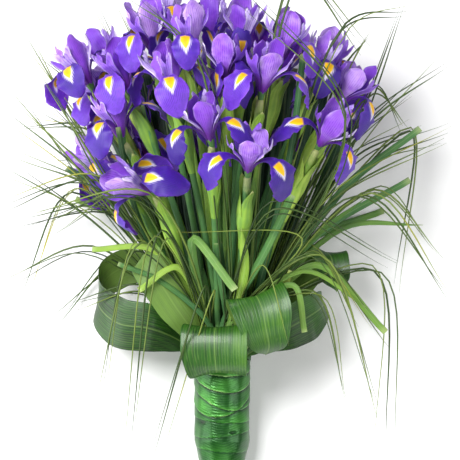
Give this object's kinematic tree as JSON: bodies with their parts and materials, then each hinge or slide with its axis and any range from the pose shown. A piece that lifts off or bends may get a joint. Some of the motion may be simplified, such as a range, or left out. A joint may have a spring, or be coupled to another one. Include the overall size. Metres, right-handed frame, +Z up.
{
  "type": "hand-tied iris bouquet",
  "caption": "Hand-tied bouquet of blue-violet Dutch irises with cut leaves, long grass and a folded leaf collar, its stems wrapped in green satin ribbon, lying on its side.",
  "frame": {"origin": "on the surface that the bouquet lies on, under the middle of its bounding box", "axes": "+Z up from the surface, +Y from the wrapped handle towards the flowers, +X to the right seen from above with the flowers at the top"},
  "size_m": [0.4488, 0.499, 0.2268],
  "materials": {
    "iris_petal": "soft velvety petal, blue violet with paler edges and yellow signals",
    "green_stem": "waxy fresh green stem, sheath and leaf",
    "grass_blade": "satin green blade",
    "collar_leaf": "glossy dark green leaf with fine long veins",
    "satin_ribbon": "glossy green satin",
    "twine": "plain natural twine"
  },
  "bodies": {
    "root": {"iris_bloom_01": "iris_petal", "iris_bloom_02": "iris_petal", "iris_bloom_03": "iris_petal", "iris_bloom_04": "iris_petal", "iris_bloom_05": "iris_petal", "iris_bloom_06": "iris_petal", "iris_bloom_07": "iris_petal", "iris_bloom_08": "iris_petal", "iris_bloom_09": "iris_petal", "iris_bloom_10": "iris_petal", "iris_bloom_11": "iris_petal", "iris_bloom_12": "iris_petal", "iris_bloom_13": "iris_petal", "iris_bloom_14": "iris_petal", "iris_bloom_15": "iris_petal", "iris_bloom_16": "iris_petal", "iris_bloom_17": "iris_petal", "iris_bloom_18": "iris_petal", "iris_bloom_19": "iris_petal", "iris_bloom_20": "iris_petal", "iris_bloom_21": "iris_petal", "iris_bloom_22": "iris_petal", "iris_bloom_23": "iris_petal", "iris_bloom_24": "iris_petal", "iris_bloom_25": "iris_petal", "iris_bloom_26": "iris_petal", "iris_bloom_27": "iris_petal", "iris_bloom_28": "iris_petal", "iris_bloom_29": "iris_petal", "iris_bloom_30": "iris_petal", "leafy_stems_01": "green_stem", "leafy_stems_02": "green_stem", "leafy_stems_03": "green_stem", "leafy_stems_04": "green_stem", "leafy_stems_05": "green_stem", "leafy_stems_06": "green_stem", "leafy_stems_07": "green_stem", "leafy_stems_08": "green_stem", "leafy_stems_09": "green_stem", "leafy_stems_10": "green_stem", "leafy_stems_11": "green_stem", "leafy_stems_12": "green_stem", "leafy_stems_13": "green_stem", "leafy_stems_14": "green_stem", "leafy_stems_15": "green_stem", "foliage_tuft_01": "grass_blade", "foliage_tuft_02": "grass_blade", "foliage_tuft_03": "grass_blade", "foliage_tuft_04": "grass_blade", "foliage_tuft_05": "grass_blade", "foliage_tuft_06": "grass_blade", "foliage_tuft_07": "grass_blade", "aspidistra_leaf_01": "collar_leaf", "aspidistra_leaf_02": "collar_leaf", "aspidistra_leaf_03": "collar_leaf", "aspidistra_leaf_04": "collar_leaf", "aspidistra_leaf_05": "collar_leaf", "aspidistra_leaf_06": "collar_leaf", "ribbon_wrap": "satin_ribbon", "binding_tie": "twine"}
  },
  "joints": []
}
